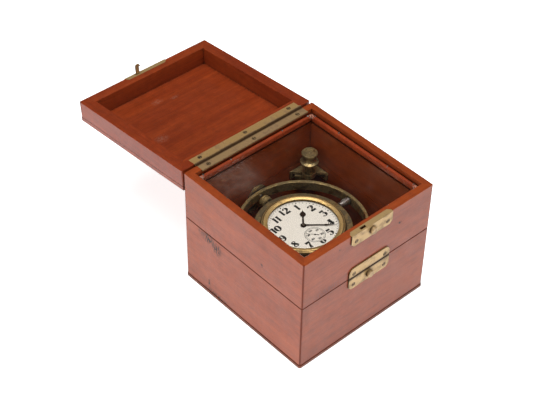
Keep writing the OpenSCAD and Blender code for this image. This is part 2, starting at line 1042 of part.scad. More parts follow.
module hour_hand() {
    color("midnightblue")
        at_gimbal() {
            rotate([0, 0, -hour_angle])
                translate([0, 0, hour_z])
                    difference() {
                        union() {
                            linear_extrude(hand_t)
                                polygon([
                                    [-0.75, 0], [-0.65, 10.2], [-2.2, 11.8], [-2.6, 13.5], [-1.8, 15.2],
                                    [-0.5, 16.6], [0, 18.6], [0.5, 16.6], [1.8, 15.2], [2.6, 13.5],
                                    [2.2, 11.8], [0.65, 10.2], [0.75, 0]
                                ]);
                            cylinder(h = hand_t, r = 2.4);
                        }
                        translate([0, 0, -1])
                            cylinder(h = 3, r = cannon_r);
                    }
            translate([0, 0, plate_top + 0.2])
                difference() {
                    cylinder(h = hour_z + hand_t - plate_top - 0.2, r = cannon_r);
                    translate([0, 0, -1])
                        cylinder(h = 8, r = arbor_r + run_gap);
                }
        }
}

module minute_hand() {
    color("midnightblue")
        at_gimbal()
            rotate([0, 0, -minute_angle])
                translate([0, 0, minute_z])
                    difference() {
                        union() {
                            linear_extrude(0.25)
                                polygon([
                                    [-0.65, 0], [-0.45, 17], [-0.8, 19], [-0.4, 21.5], [0, 28],
                                    [0.4, 21.5], [0.8, 19], [0.45, 17], [0.65, 0]
                                ]);
                            cylinder(h = 0.5, r = 1.7);
                        }
                        translate([0, 0, -1])
                            cylinder(h = 3, r = arbor_r + 0.01);
                    }
}

module seconds_hand() {
    color("midnightblue")
        at_gimbal()
            translate([0, -seconds_y, dial_z + 0.2])
                rotate([0, 0, -seconds_angle])
                    difference() {
                        union() {
                            linear_extrude(0.2)
                                polygon([
                                    [-0.35, -3.4], [-0.15, 0], [-0.1, 7.4], [0.1, 7.4],
                                    [0.15, 0], [0.35, -3.4]
                                ]);
                            cylinder(h = 0.2, r = 0.75, $fn = 32);
                        }
                        translate([0, 0, -1])
                            cylinder(h = 3, r = 0.36, $fn = 32);
                    }
}

// ---------------------------------------------------------------- movement

gear_m = 0.25;           // module of the going train
barrel_m = 0.32;         // module of the barrel and the centre pinion
centre_at = [0, 0];
fourth_at = [0, -seconds_y];
third_reach = gear_m * (64 + 8) / 2;
third_to_fourth = gear_m * (60 + 8) / 2;
third_y = -(seconds_y * seconds_y + third_reach * third_reach - third_to_fourth * third_to_fourth)
    / (2 * seconds_y);
third_at = [-sqrt(third_reach * third_reach - third_y * third_y), third_y];
barrel_at = barrel_m * (80 + 10) / 2 * [cos(50), sin(50)];
escape_at = fourth_at + gear_m * (60 + 6) / 2 * [cos(-20), sin(-20)];
fork_dir = 35;
fork_reach = 5;
balance_reach = 10.2;
fork_at = escape_at + fork_reach * [cos(fork_dir), sin(fork_dir)];
balance_at = escape_at + balance_reach * [cos(fork_dir), sin(fork_dir)];
pillars = [[-22, -6], [-5, 26], [22, 3.5], [-8, -25]];
train_low = 43.5;        // the train plate's two faces
train_top = 45.5;
arbor_low = train_low + 0.3;
arbor_high = plate_top - 0.3;
thin_r = 0.35;           // of the arbors of the fourth wheel and of all that follows it
third_r = 0.5;
barrel_arbor_r = 1.2;
lever_z = 46.8;          // height of the escape wheel's and the fork's undersides
lever_t = 0.8;

// Direction from one arbor to another.
function toward(a, b) = atan2(b[1] - a[1], b[0] - a[0]);

// A toothed disc about the Z axis with a tooth (or, if gap is 1, a gap) pointing along angle.
module gear(teeth, m, h, angle, gap = 0) {
    r = teeth * m / 2;
    rotate([0, 0, angle + gap * 180 / teeth])
        linear_extrude(h)
            polygon([
                for (i = [0 : teeth - 1], side = [0, 1])
                    (side == 0 ? r + 0.35 * m : r - 0.65 * m)
                        * [cos(360 * (i + side / 2) / teeth), sin(360 * (i + side / 2) / teeth)]
            ]);
}

module spoke_windows(r_in, r_out, h, count) {
    for (i = [0 : count - 1])
        rotate([0, 0, 360 * (i + 0.5) / count])
            translate([(r_in + r_out) / 2, 0, -1])
                cylinder(h = h + 2, r = (r_out - r_in) / 2, $fn = 32);
}

// A wheel, its pinion and their arbor, between the two plates unless the ends are given.
module wheel_set(at, teeth, wheel_z, wheel_angle,
                 leaves, pinion_m, pinion_z, pinion_angle, r, low, high) {
    wheel_h = 0.8;
    wheel_r = teeth * gear_m / 2;
    translate([at[0], at[1], 0]) {
        translate([0, 0, low])
            cylinder(h = high - low, r = r, $fn = 32);
        translate([0, 0, wheel_z])
            difference() {
                gear(teeth, gear_m, wheel_h, wheel_angle);
                spoke_windows(1.4, wheel_r - 1, wheel_h, 5);
            }
        translate([0, 0, pinion_z])
            gear(leaves, pinion_m, 1.4, pinion_angle, 1);
    }
}

module main_plate() {
    color("gainsboro")
        at_gimbal()
            difference() {
                translate([0, 0, plate_low])
                    cylinder(h = plate_t, r = plate_r, $fn = 128);
                arbor_holes(plate_low);
                translate([0, 25, stem_z])
                    rotate([-90, 0, 0])
                        cylinder(h = 10, r = 1);
            }
}

// The bearing holes through a plate whose underside is at height z.
module arbor_holes(z) {
    for (hole = [[centre_at, arbor_r], [third_at, third_r], [fourth_at, thin_r], [escape_at, thin_r],
                 [barrel_at, barrel_arbor_r], [balance_at, thin_r]])
        translate([hole[0][0], hole[0][1], z - 1])
            cylinder(h = 6, r = hole[1] + run_gap, $fn = 32);
}

module train_plate() {
    color("gainsboro")
        at_gimbal() {
            difference() {
                translate([0, 0, train_low])
                    cylinder(h = train_top - train_low, r = 28.5, $fn = 128);
                arbor_holes(train_low);
                translate([fork_at[0], fork_at[1], train_low - 1])
                    cylinder(h = 6, r = thin_r + run_gap, $fn = 32);
            }
            for (p = pillars)
                translate([p[0], p[1], train_top - eps])
                    cylinder(h = plate_low - train_top + eps, r = 1.5, $fn = 32);
        }
}

module barrel() {
    color("gold")
        at_gimbal()
            translate([barrel_at[0], barrel_at[1], 0]) {
                difference() {
                    union() {
                        translate([0, 0, 47])
                            cylinder(h = 6.2, r = 12);
                        translate([0, 0, 53])
                            gear(80, barrel_m, 1.2, toward(barrel_at, centre_at));
                    }
                    translate([0, 0, 47.6])
                        cylinder(h = 5.6, r = 11.3);
                }
                translate([0, 0, arbor_low])
                    cylinder(h = arbor_high - arbor_low, r = barrel_arbor_r, $fn = 32);
            }
}

// A flat spiral strip from r0 to r1 about the Z axis.
module spiral(r0, r1, turns, strip_t, h) {
    steps = 24 * turns;
    function at(i, off) =
        let (a = 360 * turns * i / steps, q = r0 + (r1 - r0) * i / steps + off)
            [q * cos(a), q * sin(a)];
    linear_extrude(h)
        polygon(concat(
            [for (i = [0 : steps]) at(i, strip_t / 2)],
            [for (i = [steps : -1 : 0]) at(i, -strip_t / 2)]
        ));
}

module mainspring() {
    color("steelblue")
        at_gimbal()
            translate([barrel_at[0], barrel_at[1], 47.9])
                spiral(1.5, 11, 8, 0.35, 4.8);
}

module centre_wheel() {
    color("gold")
        at_gimbal()
            wheel_set(centre_at, 64, 54.6, toward(centre_at, third_at), 10, barrel_m, 52.9,
                      toward(centre_at, barrel_at), arbor_r, arbor_low, minute_z + 0.4);
}

module third_wheel() {
    color("gold")
        at_gimbal()
            wheel_set(third_at, 60, 51.6, toward(third_at, fourth_at), 8, gear_m, 54.3,
                      toward(third_at, centre_at), third_r, arbor_low, arbor_high);
}

module fourth_wheel() {
    color("gold")
        at_gimbal()
            wheel_set(fourth_at, 60, 49.4, toward(fourth_at, escape_at), 8, gear_m, 51.3,
                      toward(fourth_at, third_at), thin_r, arbor_low, dial_z + 0.35);
}

module escape_wheel() {
    r = 3.6;
    teeth = 15;
    color("gold")
        at_gimbal()
            translate([escape_at[0], escape_at[1], 0]) {
                translate([0, 0, arbor_low])
                    cylinder(h = arbor_high - arbor_low, r = thin_r, $fn = 32);
                translate([0, 0, lever_z])
                    linear_extrude(lever_t)
                        polygon([
                            for (i = [0 : teeth - 1], p = [[2.7, 0], [r, 4], [r, 7], [2.7, 12]])
                                p[0] * [cos(360 * i / teeth + p[1]), sin(360 * i / teeth + p[1])]
                        ]);
                translate([0, 0, 49.1])
                    gear(6, gear_m, 1.4, toward(escape_at, fourth_at), 1);
            }
}

// The lever with its two pallets over the escape wheel and its horns by the balance staff.
module pallet_fork() {
    color("silver")
        at_gimbal()
            translate([escape_at[0], escape_at[1], 0])
                rotate([0, 0, fork_dir]) {
                    translate([fork_reach, 0, arbor_low])
                        cylinder(h = 6, r = thin_r, $fn = 32);
                    translate([0, 0, lever_z])
                        linear_extrude(lever_t)
                            polygon([
                                [fork_reach + 0.9, 0.5], [fork_reach + 3.2, 0.3], [fork_reach + 3.9, 0.8],
                                [fork_reach + 4.1, 0.6], [fork_reach + 3.5, 0], [fork_reach + 4.1, -0.6],
                                [fork_reach + 3.9, -0.8], [fork_reach + 3.2, -0.3],
                                [fork_reach + 0.9, -0.5],
                                [fork_reach - 0.6, -2.6], [2.6, -3.6], [2.3, -3.3], [4.1, -1.5],
                                [4.1, 1.5], [2.3, 3.3], [2.6, 3.6], [fork_reach - 0.6, 2.6]
                            ]);
                }
}

module balance_wheel() {
    rim_r = 7;
    color("gold")
        at_gimbal()
            translate([balance_at[0], balance_at[1], 0]) {
                translate([0, 0, arbor_low])
                    cylinder(h = arbor_high - arbor_low, r = thin_r, $fn = 32);
                translate([0, 0, 50.5]) {
                    difference() {
                        cylinder(h = 1.2, r = rim_r);
                        translate([0, 0, -1])
                            cylinder(h = 4, r = rim_r - 0.8);
                    }
                    translate([-rim_r + 0.4, -0.5, 0])
                        cube([2 * rim_r - 0.8, 1, 0.6]);
                    cylinder(h = 1, r = 1.2, $fn = 32);
                }
                translate([0, 0, 48.1])
                    cylinder(h = 0.6, r = 1.8, $fn = 32);
                rotate([0, 0, fork_dir + 180])
                    translate([1.4, 0, 47.75])
                        cylinder(h = 0.6, r = 0.2, $fn = 16);
            }
}

module hairspring() {
    color("steelblue")
        at_gimbal()
            translate([balance_at[0], balance_at[1], 53])
                spiral(0.6, 3.8, 7, 0.12, 0.4);
}

// The fluted crown on the end of the winding stem.
module winding_crown() {
    flutes = 30;
    color("darkkhaki")
        at_gimbal()
            translate([0, 0, stem_z])
                rotate([-90, 0, 0])
                    difference() {
                        union() {
                            translate([0, 0, 26])
                                cylinder(h = 19, r = 0.9, $fn = 32);
                            translate([0, 0, 43.2])
                                cylinder(h = 0.7, r1 = crown_r - 0.7, r2 = crown_r);
                            translate([0, 0, 43.9])
                                cylinder(h = 4.6, r = crown_r);
                            translate([0, 0, 48.5])
                                cylinder(h = 0.8, r1 = crown_r, r2 = crown_r - 0.8);
                        }
                        for (i = [0 : flutes - 1])
                            rotate([0, 0, 360 * i / flutes])
                                translate([crown_r + 0.12, 0, 43.9])
                                    cylinder(h = 6, r = 0.35, $fn = 8);
                    }
}

base_panel();
bottom_front_board();
bottom_right_board();
bottom_back_board();
bottom_left_board();
middle_front_board();
middle_right_board();
middle_back_board();
middle_left_board();
glass_pane();
glass_beads();
bead_pins();
lid_front_board();
lid_right_board();
lid_back_board();
lid_left_board();
lid_top_panel();
lid_hinge_case_leaf();
lid_hinge_lid_leaf();
lid_hinge_pin();
tier_hinge_bottom_leaf();
tier_hinge_middle_leaf();
tier_hinge_pin();
bottom_screws();
middle_screws();
lid_screws();
lid_hook_plate();
lid_catch_plate();
lid_catch_button();
lid_catch_spring();
tier_hook_plate();
tier_catch_plate();
tier_catch_button();
tier_catch_spring();
gimbal_brackets();
bracket_screws();
ring_pivots();
gimbal_ring();
bowl_trunnions();
lock_bracket();
gimbal_lock();
bowl();
bezel();
crystal();
dial();
hour_hand();
minute_hand();
seconds_hand();
main_plate();
train_plate();
barrel();
mainspring();
centre_wheel();
third_wheel();
fourth_wheel();
escape_wheel();
pallet_fork();
balance_wheel();
hairspring();
winding_crown();
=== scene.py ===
"""Looks, light and camera of a marine chronometer in its three-tier wooden box."""

import json
import math

import bpy
from mathutils import Matrix, Vector

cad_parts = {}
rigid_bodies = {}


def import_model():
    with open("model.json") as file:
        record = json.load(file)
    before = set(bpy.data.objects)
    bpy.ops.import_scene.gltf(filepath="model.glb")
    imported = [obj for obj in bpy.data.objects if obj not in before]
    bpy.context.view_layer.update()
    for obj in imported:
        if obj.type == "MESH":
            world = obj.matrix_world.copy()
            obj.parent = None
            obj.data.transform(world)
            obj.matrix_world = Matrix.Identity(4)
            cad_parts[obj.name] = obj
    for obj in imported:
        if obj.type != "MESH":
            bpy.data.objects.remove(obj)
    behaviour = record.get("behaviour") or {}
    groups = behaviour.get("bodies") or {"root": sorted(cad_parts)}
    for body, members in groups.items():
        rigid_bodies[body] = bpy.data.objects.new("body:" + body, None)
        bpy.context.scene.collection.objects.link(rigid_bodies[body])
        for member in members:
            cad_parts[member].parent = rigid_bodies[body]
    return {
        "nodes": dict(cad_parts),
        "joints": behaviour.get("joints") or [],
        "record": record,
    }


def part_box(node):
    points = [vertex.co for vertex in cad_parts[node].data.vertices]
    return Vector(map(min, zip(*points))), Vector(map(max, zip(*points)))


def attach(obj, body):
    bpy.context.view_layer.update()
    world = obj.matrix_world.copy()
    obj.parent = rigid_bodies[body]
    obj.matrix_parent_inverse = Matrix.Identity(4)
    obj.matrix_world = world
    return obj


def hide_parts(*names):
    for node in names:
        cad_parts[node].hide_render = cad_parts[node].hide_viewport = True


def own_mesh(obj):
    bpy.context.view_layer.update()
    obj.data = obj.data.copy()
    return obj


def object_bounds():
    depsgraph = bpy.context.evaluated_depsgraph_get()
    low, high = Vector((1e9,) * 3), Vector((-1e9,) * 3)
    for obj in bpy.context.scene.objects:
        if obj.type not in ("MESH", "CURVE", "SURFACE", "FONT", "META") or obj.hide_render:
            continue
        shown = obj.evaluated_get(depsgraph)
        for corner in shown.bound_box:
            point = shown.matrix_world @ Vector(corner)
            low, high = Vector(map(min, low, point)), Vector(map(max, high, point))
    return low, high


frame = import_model()
cad_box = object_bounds()

MM = 0.001

# ---------------------------------------------------------------- shader helper


class Look:
    """A material with short calls for its nodes. Places and lengths in it are in millimetres."""

    SPOT_CORE = 0.35            # a spot is at its full strength inside this share of its radii
    EDGE_ALIKE = (0.99, 0.86)   # an edge starts and is full at these likenesses of its normals
    GAP_OPEN = (0.82, 0.4)      # painted crevice shade starts and is full at these shares of openness
    RING_CORE = 0.4             # a ring is at its full strength inside this share of its reach
    FACES_X = (0.5, 0.9)        # a face counts as across X from the first to the second likeness

    def __init__(self, name):
        self.material = bpy.data.materials.new(name)
        self.material.use_nodes = True
        self.tree = self.material.node_tree
        self.shader = self.tree.nodes["Principled BSDF"]
        self.output = self.tree.nodes["Material Output"]
        coords = self.node("TexCoord").outputs["Object"]
        self.place = self.node("VectorMath", coords, [1 / MM] * 3, operation="MULTIPLY").outputs[0]
        self.axes = self.node("SeparateXYZ", self.place).outputs

    def node(self, kind, *inputs, **settings):
        """A new node with its settings, its first sockets fed from inputs in order."""
        made = self.tree.nodes.new("ShaderNode" + kind)
        for name, value in settings.items():
            setattr(made, name, value)
        for socket, value in zip(made.inputs, inputs):
            self.feed(socket, value)
        return made

    def feed(self, socket, value):
        """Link the socket to another socket, or set it to a plain value; None leaves it alone."""
        if isinstance(value, bpy.types.NodeSocket):
            self.tree.links.new(value, socket)
        elif value is not None:
            socket.default_value = value

    def math(self, operation, a, b=None):
        return self.node("Math", a, b, operation=operation).outputs[0]

    def times(self, a, b):
        return self.math("MULTIPLY", a, b)

    def minus(self, a, b):
        return self.math("SUBTRACT", a, b)

    def larger(self, a, b):
        return self.math("MAXIMUM", a, b)

    def stretched(self, factors):
        """The place, with each axis scaled by its factor: a small factor draws a pattern out."""
        return self.node("VectorMath", self.place, factors, operation="MULTIPLY").outputs[0]

    def noise(self, vector=None, scale=1.0, detail=3.0, roughness=0.55):
        source = self.place if vector is None else vector
        return self.node("TexNoise", source, None, scale, detail, roughness).outputs[0]

    def between(self, value, low, high, to_low=0.0, to_high=1.0):
        """The value's way from low to high, kept inside them, as a way from to_low to to_high."""
        return self.node("MapRange", value, low, high, to_low, to_high).outputs[0]

    def mix(self, factor, a, b):
        """Colour a where factor is 0, b where it is 1."""
        made = self.node("Mix", factor, data_type="RGBA")
        self.feed(made.inputs[6], a)
        self.feed(made.inputs[7], b)
        return made.outputs[2]

    def spot(self, centre, radii):
        """1 at the middle of an ellipsoid, falling to 0 at its surface."""
        offset = self.node("VectorMath", self.place, centre, operation="SUBTRACT").outputs[0]
        scaled = self.node("VectorMath", offset, radii, operation="DIVIDE").outputs[0]
        reach = self.node("VectorMath", scaled, operation="LENGTH").outputs["Value"]
        return self.between(reach, 1.0, self.SPOT_CORE)

    def edge(self, radius):
        """1 along sharp edges, 0 on flat faces."""
        rounded = self.node("Bevel", radius * MM, samples=4).outputs[0]
        flat = self.node("NewGeometry").outputs["Normal"]
        alike = self.node("VectorMath", rounded, flat, operation="DOT_PRODUCT").outputs["Value"]
        return self.between(alike, *self.EDGE_ALIKE)

    def crevice(self, reach):
        """Painted shade: 1 in corners and gaps narrower than about reach, 0 in the open."""
        openness = self.node("AmbientOcclusion", None, reach * MM, samples=4).outputs["AO"]
        return self.between(openness, *self.GAP_OPEN)

    def away(self, axis, at):
        """The distance from a plane across that axis."""
        return self.math("ABSOLUTE", self.minus(self.axes[axis], at))

    def ring(self, x, y, radius, reach):
        """1 along a circle about an upright line, falling to 0 at reach from it."""
        across = self.node("VectorMath", self.place, (x, y, 0), operation="SUBTRACT").outputs[0]
        level = self.node("VectorMath", across, (1, 1, 0), operation="MULTIPLY").outputs[0]
        distance = self.node("VectorMath", level, operation="LENGTH").outputs["Value"]
        off = self.math("ABSOLUTE", self.minus(distance, radius))
        return self.between(off, reach, self.RING_CORE * reach)

    def ends(self, strength):
        """Painted shade: strength on the faces across X, 0 on the others."""
        normal = self.node("NewGeometry").outputs["Normal"]
        facing = self.math("ABSOLUTE", self.node("SeparateXYZ", normal).outputs[0])
        return self.between(facing, *self.FACES_X, 0, strength)

    def covered(self, colour, mask, strength, tint):
        """The colour under a tint, as thick as the mask times strength."""
        return self.mix(self.times(mask, strength), colour, tint)

    def bump(self, height, distance):
        """A normal for relief that stands up to distance at height 1."""
        made = self.node("Bump")
        made.inputs["Distance"].default_value = distance * MM
        self.feed(made.inputs["Height"], height)
        return made.outputs[0]

    def done(self, **inputs):
        """The finished material, with the shader's inputs fed by name."""
        for name, value in inputs.items():
            self.feed(self.shader.inputs[name.replace("_", " ")], value)
        return self.material


def rgb(red, green, blue):
    return (red, green, blue, 1.0)


# ---------------------------------------------------------------- materials

PORE = rgb(0.06, 0.012, 0.005)
CORNER_SHADE = rgb(0.04, 0.01, 0.005)
CORNER_DARK_AND_SEAM_SHADE = rgb(0.11, 0.018, 0.006)
BRASS_SHADE_AND_DARK = rgb(0.04, 0.02, 0.009)
CLEAR_GLASS = rgb(0.99, 0.985, 0.975)
GLASS_DUST = rgb(0.55, 0.48, 0.42)
AGED_ENAMEL = rgb(0.74, 0.67, 0.55)
ENAMEL_SPECK = rgb(0.3, 0.22, 0.15)
INK_BLACK = rgb(0.003, 0.003, 0.004)
INK_WORN = rgb(0.02, 0.017, 0.016)

# Dark bands along the case's upright corners, and painted shade along its seams: where they start
# and where they are full, in millimetres from a corner's two faces, from a seam, and from the outer
# faces, which alone carry the seam's line.
CORNER_BAND = (1.5, 0.7)
SEAM_BAND = (1.0, 0.55)
OUTER_BAND = (3, 2)


def old_polish(look, outline):
    """1 on the upright corners, painted darker, and on the outside of the seams, where shade is
    painted; 0 elsewhere.
    """
    x, y, half, seams = outline
    sideways, endways = look.away(0, x), look.away(1, y)
    nearer = look.math("MINIMUM", sideways, endways)
    polish = look.between(nearer, *(half - reach for reach in CORNER_BAND))
    outside = look.between(look.larger(sideways, endways), *(half - reach for reach in OUTER_BAND))
    for seam in seams:
        line = look.between(look.away(2, seam), *SEAM_BAND)
        polish = look.larger(polish, look.times(outside, line))
    return polish


def figured(look, along, light, dark):
    """The bare wood's colour, with its streaks and pores for the relief."""

    def grain(length, width, detail):
        factors = [1 / width] * 3
        factors[along] = 1 / length
        return look.noise(look.stretched(factors), detail=detail)

    bands = grain(190, 12, 3)
    streaks = grain(48, 2.0, 4)
    fibres = grain(16, 0.7, 3)
    pores = look.between(grain(4.5, 0.5, 2), 0.62, 0.7)
    mottle = look.noise(scale=0.13, detail=6, roughness=0.65)
    streaky = look.between(streaks, 0.25, 0.75, 0.88, 1.1)
    fibrous = look.between(fibres, 0.25, 0.75, 0.84, 1.14)
    mottled = look.between(mottle, 0.3, 0.7, 0.86, 1.12)
    banded = look.mix(look.between(bands, 0.2, 0.8), dark, light)
    shaded = look.node("VectorMath", banded, operation="SCALE")
    look.feed(shaded.inputs["Scale"], look.times(look.times(streaky, fibrous), mottled))
    return look.covered(shaded.outputs[0], pores, 0.4, PORE), streaks, pores


def wood(name, light, dark, along, marks=(), gloss=0.42, outline=None):
    """Polished hardwood with fine pores. along is the grain's axis, 0 for X and 1 for Y.

    marks are (centre, radii, strength, colour). outline is the box part's (x, y, half width, seam
    heights): its upright corners are painted darker, and its seams get painted shade.
    """
    look = Look(name)
    colour, streaks, pores = figured(look, along, light, dark)
    # Painted shade in the corners and gaps.
    colour = look.covered(colour, look.crevice(2.5), 0.75, CORNER_SHADE)
    dull_coat = 0.0
    # Darker upright corners, and painted shade along the seams' outer faces.
    if outline:
        dull_coat = old_polish(look, outline)
        colour = look.covered(colour, dull_coat, 0.85, CORNER_DARK_AND_SEAM_SHADE)
    broken = look.between(look.noise(look.stretched([0.8, 0.8, 0.3]), detail=5), 0.44, 0.52)
    # Marks: scratches, smudges and dust, and at the bead's corners painted highlights.
    for centre, radii, strength, tint in marks:
        mask = look.times(look.times(look.spot(centre, radii), broken), strength)
        colour = look.mix(mask, colour, tint)
        dull_coat = look.larger(dull_coat, mask)
    haze = look.noise(scale=0.06, detail=4)
    relief = look.minus(look.times(streaks, 0.6), look.times(pores, 0.6))
    return look.done(
        Base_Color=colour,
        Roughness=look.between(haze, 0.3, 0.7, 0.34, 0.5),
        Specular_IOR_Level=0.15,
        Coat_Weight=look.between(dull_coat, 0, 1, gloss, 0.03),
        Coat_Roughness=look.between(haze, 0.3, 0.7, 0.12, 0.26),
        Normal=look.bump(relief, 0.06),
    )


def tarnished(look, tarnish):
    """Patches and specks of tarnish, which spread as tarnish grows from 0 to 1."""
    patches = look.noise(scale=0.11, detail=6, roughness=0.65)
    aged = look.between(patches, 0.62 - 0.35 * tarnish, 0.78 - 0.35 * tarnish)
    specks = look.between(look.noise(scale=1.9, detail=3), 0.62, 0.72)
    return look.larger(aged, look.times(specks, 0.6 * tarnish + 0.1))


def metal(name, bright, dull, tarnish, rough, grain=(0.25, 0.25, 0.25), edge=0.35, dark_spots=(),
          shaded_edges=0.0, bare=1.0, shaded_ends=0.0, rings=()):
    """Brass or steel: patches of tarnish, brushing, edges rubbed bright and painted shade in the
    corners.

    dark_spots are (centre, radii) of places painted darker, and shaded_edges is how much painted
    shade lies along the edges. bare is how metallic the clean metal is: old lacquer lowers it.
    shaded_ends is the painted shade on the faces across X. rings are (x, y, radius, reach) of
    darker rings around upright lines.
    """
    look = Look(name)
    rubbed = look.edge(edge)
    left_on = look.minus(1.0, look.times(rubbed, 0.7))
    cover = look.times(tarnished(look, tarnish), left_on)
    # Painted shade in the crevices and along the edges; the spots, rings and shaded ends below
    # darken more.
    shade_and_dark_marks = look.larger(look.crevice(2.2), look.times(rubbed, shaded_edges))
    for centre, radii in dark_spots:
        shade_and_dark_marks = look.larger(shade_and_dark_marks, look.spot(centre, radii))
    for ring in rings:
        shade_and_dark_marks = look.larger(shade_and_dark_marks, look.ring(*ring))
    if shaded_ends:
        shade_and_dark_marks = look.larger(shade_and_dark_marks, look.ends(shaded_ends))
    brushed = look.noise(look.stretched(grain), scale=6, detail=3)
    gloss = look.between(brushed, 0.3, 0.7, -0.05, 0.07)
    return look.done(
        Base_Color=look.covered(look.mix(cover, bright, dull), shade_and_dark_marks, 0.95, BRASS_SHADE_AND_DARK),
        Metallic=look.between(look.larger(cover, shade_and_dark_marks), 0, 1, bare, 0.45 * bare),
        Roughness=look.math("ADD", look.between(cover, 0, 1, rough, rough + 0.2), gloss),
        Specular_IOR_Level=look.between(shade_and_dark_marks, 0, 1, 0.5, 0.08),
        Normal=look.bump(brushed, 0.008),
    )


def glass(name, haze, smears=()):
    """Clear sheet glass with a thin film of dust, thickest in the smears, (centre, radii)."""
    look = Look(name)
    film = look.between(look.noise(scale=0.08, detail=7, roughness=0.75), 0.42, 0.75, 0.0, haze)
    for centre, radii in smears:
        streaky = look.between(look.noise(scale=0.12, detail=6), 0.3, 0.7, 0.008, 0.06)
        film = look.larger(film, look.times(look.spot(centre, radii), streaky))
    clear = look.node("BsdfTransparent", CLEAR_GLASS).outputs[0]
    shine = look.node("BsdfGlossy", rgb(1, 1, 1)).outputs[0]
    shine.node.inputs["Roughness"].default_value = 0.03
    dust = look.node("BsdfDiffuse", GLASS_DUST).outputs[0]
    facing = look.node("LayerWeight", 0.5).outputs["Facing"]
    fresnel = look.between(look.math("POWER", facing, 5.0), 0, 1, 0.01, 1)
    body = look.node("MixShader", fresnel, clear, shine).outputs[0]
    surface = look.node("MixShader", film, body, dust).outputs[0]
    look.tree.links.new(surface, look.output.inputs["Surface"])
    look.tree.nodes.remove(look.shader)
    return look.material


def enamel(name, colour):
    """Fired enamel: faint mottling, a fine orange-peel and a glossy coat."""
    look = Look(name)
    mottle = look.noise(scale=0.16, detail=5)
    specks = look.between(look.noise(scale=2.4, detail=2), 0.68, 0.76)
    aged = look.mix(look.between(mottle, 0.35, 0.7, 0, 0.16), colour, AGED_ENAMEL)
    return look.done(
        Base_Color=look.covered(aged, specks, 0.18, ENAMEL_SPECK),
        Roughness=look.between(mottle, 0.3, 0.7, 0.24, 0.36),
        Coat_Weight=0.3,
        Normal=look.bump(look.noise(scale=0.7, detail=2), 0.01),
    )


def ink(name):
    """Fired black dial paint, slightly worn."""
    look = Look(name)
    wear = look.noise(scale=1.4, detail=4)
    return look.done(
        Base_Color=look.mix(look.between(wear, 0.5, 0.75), INK_BLACK, INK_WORN),
        Roughness=look.between(wear, 0.3, 0.7, 0.3, 0.5),
        Normal=look.bump(wear, 0.006),
    )


CASE_LIGHT = rgb(0.31, 0.056, 0.010)
CASE_DARK = rgb(0.185, 0.029, 0.006)
LID_LIGHT = rgb(0.27, 0.043, 0.009)
LID_DARK = rgb(0.16, 0.02, 0.005)
SCRATCH = rgb(0.018, 0.009, 0.007)
SMUDGE = rgb(0.15, 0.052, 0.042)
# Pale colour for the lid's dust and for the bead's painted highlights.
DUST_AND_HIGHLIGHT = rgb(0.42, 0.27, 0.2)

lid_low, lid_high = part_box("lid_top_panel")
LID_FLOOR = lid_high.z / MM

SIDE = -70               # X of the case's left face and Y of its front face
BEAD_CORNER = 60         # X and Y of the glazing bead's corners, where highlights are painted
BEAD_TOP = 110

# Marks are (centre, radii, strength, colour) in millimetres.
LEFT_MARKS = [
    [(SIDE, 40.5, 63), (4, 9, 8), 1, SCRATCH],
    [(SIDE, 30.5, 58), (4, 7, 8), 1, SCRATCH],
    [(SIDE, 50, 64), (4, 5, 5), 0.6, SCRATCH],
    [(SIDE, 41, 11), (4, 1.6, 8), 1, SCRATCH],
    [(SIDE, 33, 2), (4, 22, 6), 1, SCRATCH],
    [(SIDE, -24, 81), (2, 2.4, 1.8), 1, SCRATCH],
]
FRONT_MARKS = [
    [(-43, SIDE, 71), (20, 3, 5), 0.8, SMUDGE],
    [(34, SIDE, 95), (2.4, 2, 1.8), 1, SCRATCH],
    [(-32, SIDE, 107), (2, 2, 1.5), 1, SCRATCH],
]
LID_MARKS = [
    [(-10, 182, LID_FLOOR), (11, 7, 12), 0.5, DUST_AND_HIGHLIGHT],
    [(6, 177, LID_FLOOR), (8, 4, 12), 0.45, DUST_AND_HIGHLIGHT],
    [(-41, 136, LID_FLOOR), (9, 7, 12), 0.2, DUST_AND_HIGHLIGHT],
]
# Pale spots at the bead's corners: painted highlights.
BEAD_HIGHLIGHTS = [
    [(sign_x * BEAD_CORNER, sign_y * BEAD_CORNER, BEAD_TOP), (3.5, 3.5, 3), 0.7, DUST_AND_HIGHLIGHT]
    for sign_x in (-1, 1) for sign_y in (-1, 1)
]

WHOLE_WIDTH = 400        # longer than the case, so that a band of dirt runs right across it
HINGE_SLOT = -1.2        # from the hinge's axis to the painted shade in the slot beside its knuckles
hinge_low, hinge_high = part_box("lid_hinge_pin")
HINGE_X, HINGE_Y, HINGE_Z = (hinge_low + hinge_high) / 2 / MM
# Painted shade in the slot between the knuckles and the lid's leaf.
HINGE_SLOT_SHADE = [((HINGE_X, HINGE_Y + HINGE_SLOT, HINGE_Z), (WHOLE_WIDTH, 1.9, 8))]

LID_OUTLINE = (
    (lid_low.x + lid_high.x) / 2 / MM,
    (lid_low.y + lid_high.y) / 2 / MM,
    (lid_high.x - lid_low.x) / 2 / MM,
    (),
)
tier_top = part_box("bottom_left_board")[1].z / MM
case_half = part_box("bottom_right_board")[1].x / MM
CASE_OUTLINE = (0, 0, case_half, (tier_top,))


def board(node):
    """The wood of one board: its grain runs along it, and its marks lie on it."""
    along = 1 if "left" in node or "right" in node else 0
    if node.startswith("lid"):
        return wood("wood_" + node, LID_LIGHT, LID_DARK, along, LID_MARKS, outline=LID_OUTLINE)
    marks = LEFT_MARKS if "left" in node else FRONT_MARKS if "front" in node else ()
    return wood("wood_" + node, CASE_LIGHT, CASE_DARK, along, marks, outline=CASE_OUTLINE)


